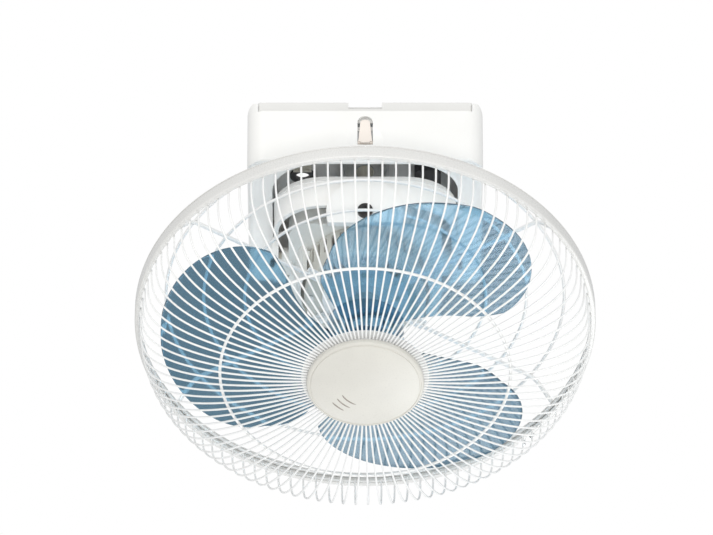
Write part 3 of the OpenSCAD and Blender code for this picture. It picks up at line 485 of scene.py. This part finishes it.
# %% Ring wires of both guards
RING_WIRE, INNER_R, MID_R, RIM_R = 1.5, 52, 141.0, 221.7
REAR_R, REAR_S = (118, 158, 195), 51.95     # radii and place of the rear guard's rings
RIM_BACK_S = 78.3                           # the rear guard's own rim
MID_GAP, INNER_GAP = 0.1, 0.05              # from a front ring to the wires before it
mid_slope = (guard_s(MID_R + 1) - guard_s(MID_R - 1)) / 2
mid_s = guard_s(MID_R) - (WIRE + RING_WIRE) * np.hypot(1, mid_slope) - MID_GAP
inner_s = RIM_S + BULGE - WIRE - RING_WIRE - INNER_GAP
piece("Front_rings", [ring(INNER_R, inner_s, RING_WIRE), ring(MID_R, mid_s, RING_WIRE)],
      "head", "guard_paint", ["front_rings"])
piece("Rear_rings", [ring(r, REAR_S, RING_WIRE) for r in REAR_R],
      "head", "guard_paint", ["rear_rings"])
piece("Rim_rings", [ring(RIM_R, RIM_BACK_S, RING_WIRE), ring(RIM_R, RIM_S, RING_WIRE)],
      "head", "guard_paint", ["rim_rings"])

# %% [markdown]
# The rear guard is held by four thicker wires. Each leaves the plate behind the motor, runs
# straight out, and bends forward to the rim, so its corner is softened as a real bend is.

# %% Struts of the rear guard
STRUT_IN, STRUT_BEND, STRUT_OUT = 32, 199, 218.15     # radii
STRUT_WIRE, STRUT_S, BEND, BEND_STEPS = 2.0, 55.5, 9, 8
strut = softened([(STRUT_IN, STRUT_S), (STRUT_BEND, STRUT_S), (STRUT_OUT, RIM_BACK_S)], BEND,
                 steps=BEND_STEPS, closed=False)
strut = strut[np.r_[0, BEND_STEPS + 1:2 * BEND_STEPS + 1, -1]]   # the bend, and each end once
strut_turns = np.radians([32.5, 147.5, 212.5, 327.5])
piece("Rear_struts", [rods(strut, STRUT_WIRE, strut_turns, sides=14)], "head", "guard_paint",
      ["rear_struts"])

# %% [markdown]
# A plastic band snaps over both rim rings and keeps the two guards together. Its section is a
# shallow channel with rounded outer corners and a fine groove near its upper edge, carried round
# the axis.

# %% Trim band
BAND_IN, BAND_OUT, BAND_TOP, BAND_LOW = 220.25, 225.0, 75.0, 90.0
WALL, GROOVE = 1.5, 0.8
GROOVE_TOP, GROOVE_LOW = BAND_TOP + 1.2, BAND_TOP + 2.3
band = softened([(BAND_IN, BAND_TOP), (BAND_OUT, BAND_TOP), (BAND_OUT, GROOVE_TOP),
                 (BAND_OUT - GROOVE, GROOVE_TOP), (BAND_OUT - GROOVE, GROOVE_LOW),
                 (BAND_OUT, GROOVE_LOW), (BAND_OUT, BAND_LOW), (BAND_IN, BAND_LOW),
                 (BAND_IN, BAND_LOW - WALL), (BAND_OUT - WALL, BAND_LOW - WALL),
                 (BAND_OUT - WALL, BAND_TOP + WALL), (BAND_IN, BAND_TOP + WALL)],
                [0.4, 0.5, 0.2, 0.2, 0.2, 0.3, 1.8, 0.4, 0.4, 0.3, 0.3, 0.4])
piece("Trim_band", [turned(band, 240)], "head", "band_plastic", ["trim_band"])

# %% [markdown]
# ## The hub cap
#
# The cap is a low dome with a fine groove near its edge and three posts that take screws from
# behind. The dome is part of a sphere: with rise h over radius R, the sphere's radius is
# (R^2 + h^2) / 2h. Three short arcs round its middle are inlaid, low on the left in the view.

# %% Cap, posts and arcs
CAP_R, DOME, EDGE = 57.0, 6.0, 5            # radius, rise of the dome, height of the edge
CAP_BACK = RIM_S + BULGE + WIRE + 0.3       # it stands a little clear of the wires
CAP_EDGE = CAP_BACK + EDGE
GROOVE_IN, GROOVE_OUT, GROOVE_DEEP, LIP = 53.0, 54.2, 0.75, 0.4
RECESS_R, RECESS = 35, 2.5                  # the hollow in the cap's back
POST_R, POST_LONG, POST_OUT = 4, 6.9, 40    # a post's radius, length and distance from the axis
POST_BACK = 1.8                             # how far it reaches behind the inner ring's middle
dome_r = (CAP_R ** 2 + DOME ** 2) / (2 * DOME)


def dome_s(r):
    """Distance down the axis of the cap's face at radius r."""
    return CAP_EDGE + DOME - dome_r + np.sqrt(dome_r ** 2 - r ** 2)


face_r = np.linspace(0, GROOVE_IN - LIP - 0.2, 24)
face = np.stack([face_r, dome_s(face_r)], -1)
groove = softened([(GROOVE_IN - LIP, dome_s(GROOVE_IN - LIP)),
                   (GROOVE_IN, dome_s(GROOVE_IN) - GROOVE_DEEP),
                   (GROOVE_OUT, dome_s(GROOVE_OUT) - GROOVE_DEEP),
                   (GROOVE_OUT + LIP, dome_s(GROOVE_OUT + LIP))], 0.15, steps=3, closed=False)
rim = softened([(GROOVE_OUT + 1, dome_s(GROOVE_OUT + 1)), (CAP_R, CAP_EDGE - 0.4),
                (CAP_R, CAP_BACK), (RECESS_R, CAP_BACK), (RECESS_R, CAP_BACK + RECESS),
                (0, CAP_BACK + RECESS)], [0.3, 1.3, 0.5, 0.4, 0.4, 0.3], closed=False)
post = np.array([(0, 0), (POST_R, 0), (POST_R, POST_LONG), (0, POST_LONG)], float)
around_post = np.linspace(0, 2 * pi, 24, endpoint=False)[None, :, None]
post_turn = np.radians([0, 120, 240])[:, None, None]
post_x = POST_OUT + post[None, None, :, 0] * np.cos(around_post)
post_y = post[None, None, :, 0] * np.sin(around_post)
posts = in_head(post_x * np.cos(post_turn) - post_y * np.sin(post_turn),
                post_x * np.sin(post_turn) + post_y * np.cos(post_turn),
                inner_s - POST_BACK + post[None, None, :, 1] + 0 * post_x)
piece("Hub_cap", [turned(np.concatenate([face, groove, rim]), 160, closed=False),
                  (posts, True, False)], "head", "cap_plastic", ["hub_cap"])


# %% Three arcs inlaid in the cap
ARCS = [(24, 112, 158), (31, 118, 152), (38, 123, 147)]     # radius, first and last angle
arc_grey = finish("cap_arcs", (0.33, 0.29, 0.25), (0.26, 0.23, 0.20), (0.3, 0.42), 0.0008,
                  0.00002, cloud=0.01, metal=0.3)


def inlay(r, start, end, width=1.7, lift=0.3):
    """A strip along an arc on the dome; its half width and lift shrink to nothing at both ends."""
    u = np.linspace(0, 1, 40)[:, None]
    a = np.linspace(0, 2 * pi, 12, endpoint=False)[None, :]
    body = np.sqrt(np.clip(1 - np.abs(2 * u - 1) ** 3, 0, 1))
    rr = r + width / 2 * body * np.cos(a)
    return around(rr, np.radians(start + (end - start) * u) + 0 * a,
                  dome_s(rr) + lift * body * np.sin(a)), False, True


arcs = piece("Cap_arcs", [inlay(*arc) for arc in ARCS], "head", "cap_plastic")
arcs.data.materials[0] = arc_grey

# %% [markdown]
# ## The release tab
#
# The tab's face nearly fills its arched slot at the foot and narrows upward, so only a thin dark
# arch shows round it. It is a tongue that swells a little toward the middle. At height t, from
# 0 at the foot to 1 at the top, its half width is FOOT_HALF (1 - TAPER t), closed from ROUND_FROM
# on by a quarter ellipse. It lies on the rigid tab, which keeps the hinge pin and the hook. Its
# section is an ellipse whose sine and cosine are raised to the power BOXY, so its corners fill.

# %% Face of the tab
FOOT_HALF, TAPER, ROUND_FROM = 6.9, 0.36, 0.86
FACE_HALF, PROUD = 0.9, 0.2       # half thickness, and how far it stands before the rigid face
FOOT_UP, TOP_UP = 0.6, 0.4        # how far its foot and top lie above those of the rigid tab
THIN_END, BOXY = 0.05, 0.4        # the share of its height over which it thins out at the top
tab_lo, tab_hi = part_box("release_tab")
t = np.linspace(0, 1, 40)[:, None]
turn = np.linspace(0, 2 * pi, 48, endpoint=False)[None, :]
open_end = np.where(t > 0, 1, 0)
half = FOOT_HALF * (1 - TAPER * t)
half *= np.sqrt(1 - np.clip((t - ROUND_FROM) / (1 - ROUND_FROM), 0, 1) ** 2) * open_end
deep = FACE_HALF * np.sqrt(np.clip((1 - t) / THIN_END, 0, 1)) * open_end
tab_x = half * np.sign(np.cos(turn)) * np.abs(np.cos(turn)) ** BOXY
tab_y = (tab_lo[1] / MM - PROUD + FACE_HALF
         - deep * np.sign(np.sin(turn)) * np.abs(np.sin(turn)) ** BOXY)
tab_tall = (tab_hi[2] - tab_lo[2]) / MM + TOP_UP - FOOT_UP
tab_z = tab_lo[2] / MM + FOOT_UP + tab_tall * t + 0 * turn
piece("Tab_face", [(MM * np.stack([tab_x, tab_y, tab_z], -1), False, True)], "tab",
      "tab_plastic")

# %% [markdown]
# ## The blades
#
# The three blades and their hub are one moulding. A blade is a surface of two parameters: the
# radius r, and u from one edge to the other. Its half angle shrinks to nothing at the tip like
# an ellipse, the root is swept round, the pitch tips each row, and the whole blade is dished
# toward the motor. Thickness is laid on both sides of that surface and fades at the edges, and
# it grows near the hub, as a moulder leaves it to be strong and to fill well.

# %% Blade law
BLADE_R, ROOT, BELLY, SWEPT = 200.0, 36.5, 108.0, 138.0
HALF, SWEEP, PITCH, ROOT_PITCH = 50.0, 20.5, 9.5, 11.5
CREST, DISH, CREST_R, FIRST = 118.0, 13.0, 90.0, 62.5
NARROWING = 0.14                  # degrees of half angle lost per mm inward from BELLY
STEEPENS, HOLLOW = 60, 3          # the pitch grows over this from the root; depth of a hollow
TIP_CUT, TIP_THINS = 0.6, 6       # the skin stops this far short of BLADE_R, and thins over this
SKIN, ROOT_SKIN = 1.0, 1.6        # half thickness, and what the root adds to it
ROOT_FADES, FULL = 7.0, 0.35      # how fast that fades outward; how square the edges are


def blade_angle(r, u):
    """Angle from the blade's middle, in radians: u times half, less a sweep inward of SWEPT.

    Outward of BELLY half is HALF sqrt(1 - q^2), and inward it shrinks by NARROWING a mm."""
    q = np.clip((r - BELLY) / (BLADE_R - BELLY), 0, 1)
    half = np.where(r < BELLY, HALF - (BELLY - r) * NARROWING, HALF * np.sqrt(1 - q * q))
    return np.radians(u * half - SWEEP * np.clip((SWEPT - r) / (SWEPT - ROOT), 0, None))


def blade_s(r, u):
    """Distance down the axis: crest, less the dish, less the pitch, less a slight hollow."""
    pitch = np.radians(PITCH + (ROOT_PITCH - PITCH) * np.clip(1 - (r - ROOT) / STEEPENS, 0, None))
    return (CREST - DISH * ((r - CREST_R) / (BLADE_R - CREST_R)) ** 2
            - r * np.sin(blade_angle(r, u)) * np.tan(pitch) - HOLLOW * (1 - u * u))


def blade_skin(turn, rows=64, across=34):
    """Both faces of a blade as one closed strip, round which v runs.

    u is cos v, and half the thickness goes with sin v to the power FULL, one face on each side."""
    r = (ROOT + (BLADE_R - TIP_CUT - ROOT) * np.sin(np.linspace(0, pi / 2, rows)))[:, None]
    v = np.linspace(0, 2 * pi, 2 * across, endpoint=False)[None, :]
    u = np.cos(v)
    root = np.exp(-(r - ROOT) / ROOT_FADES)
    thick = (SKIN + ROOT_SKIN * root) * np.sign(np.sin(v)) * np.abs(np.sin(v)) ** FULL
    thick *= np.sqrt(np.clip((BLADE_R - r) / TIP_THINS, 0, 1))
    angle = blade_angle(r, u) + radians(turn)
    return around(r, angle, blade_s(r, u) + thick), False, True


drop = CREST - blade_s(BLADE_R, 0)
print("a blade's tip lies", round(float(drop), 1), "mm behind its crest")


# %% Hub, ribs, nut and blades
BORE, HUB_R, HUB_TOP, HUB_FACE, HUB_WALL = 4.05, 38, 92, 130, 3
BOSS_R, BOSS_TOP = 9, 96
hub_in, hub_back = HUB_R - HUB_WALL, HUB_FACE - HUB_WALL
hub = softened([(BORE, HUB_FACE), (HUB_R, HUB_FACE), (HUB_R, HUB_TOP), (hub_in, HUB_TOP),
                (hub_in, hub_back), (BORE, hub_back)], [0.3, 7, 0.8, 0.6, 4, 0.3], steps=6)
boss = softened([(BORE, BOSS_TOP), (BOSS_R, BOSS_TOP), (BOSS_R, hub_back + 1.5),
                 (BORE, hub_back + 1.5)], [0.4, 0.8, 0.3, 0.3])


def ribs(count, inner, outer, low, high, half):
    """Flat radial ribs with rounded edges between the boss and the wall of the hub.

    Each is a radial line whose section is an ellipse with its sine and cosine squared off."""
    line = np.stack([np.linspace(inner, outer, 5), np.full(5, (low + high) / 2)], -1)
    a = np.linspace(0, 2 * pi, 16, endpoint=False)
    box = np.abs(np.cos(a)) ** 0.3 * np.sign(np.cos(a)) * (high - low) / 2
    side = np.abs(np.sin(a)) ** 0.3 * np.sign(np.sin(a)) * half
    line = np.concatenate([line[:1], line, line[-1:]])
    keep = np.ones(len(line))
    keep[[0, -1]] = 0
    r = line[:, 0, None] + 0 * a
    s = line[:, 1, None] + box * keep[:, None]
    turn = np.radians(np.arange(count) * 360 / count)[:, None, None]
    w = side * keep[:, None]
    return in_head(r * np.cos(turn) - w * np.sin(turn), r * np.sin(turn) + w * np.cos(turn),
                   s + 0 * turn), False, True


blades = piece("Blade_set", [turned(hub, 144), turned(boss, 48),
                             ribs(6, BOSS_R - 0.4, hub_in + 0.6, 115, hub_back + 1, 1.0)]
               + [blade_skin(FIRST + k) for k in (0, 120, 240)],
               "rotor", "blade_plastic", ["blade_set"])
blades.visible_shadow = False     # clear plastic lets the light through to what is behind it

# %% [markdown]
# The nut that holds the blades is turned by hand, so its side has shallow flutes. A cosine of the
# angle shrinks the radius of a plain turned profile. The nut ends in a ball of radius BALL.

# %% Blade nut
NUT_BORE, NUT_DEEP, SKIRT_R, SKIRT = 4.02, 14.2, 15, 4.5
BALL, BALL_S = 13, HUB_FACE + 3             # radius and centre of the rounded end
FLUTES, FLUTE = 12, 0.035                   # how many, and how deep as a share of the radius
FLUTE_END, FLUTE_FADES = 141, 6             # where they end, and over how much they fade
nut_side = softened([(NUT_BORE, HUB_FACE), (SKIRT_R, HUB_FACE), (SKIRT_R, HUB_FACE + SKIRT),
                     (SKIRT_R - 2.4, HUB_FACE + SKIRT + 1.5)], [0.3, 0.8, 0.8, 0.5], closed=False)
dome = np.radians(np.linspace(14, 90, 14))
ball = np.stack([BALL * np.cos(dome), BALL_S + BALL * np.sin(dome)], -1)
inner = np.array([(0.0, HUB_FACE + NUT_DEEP), (NUT_BORE, HUB_FACE + NUT_DEEP)])
nut = np.concatenate([nut_side, ball, inner, nut_side[:1]])


def flutes(angle, s):
    """Share of the radius that the flutes take away; it fades toward the rounded end."""
    fade = np.clip((FLUTE_END - s) / FLUTE_FADES, 0, 1)
    return -FLUTE * (0.5 + 0.5 * np.cos(FLUTES * angle)) * fade


piece("Blade_nut", [turned(nut, 96, closed=False, wave=flutes)],
      "rotor", "nut_plastic", ["blade_nut"])
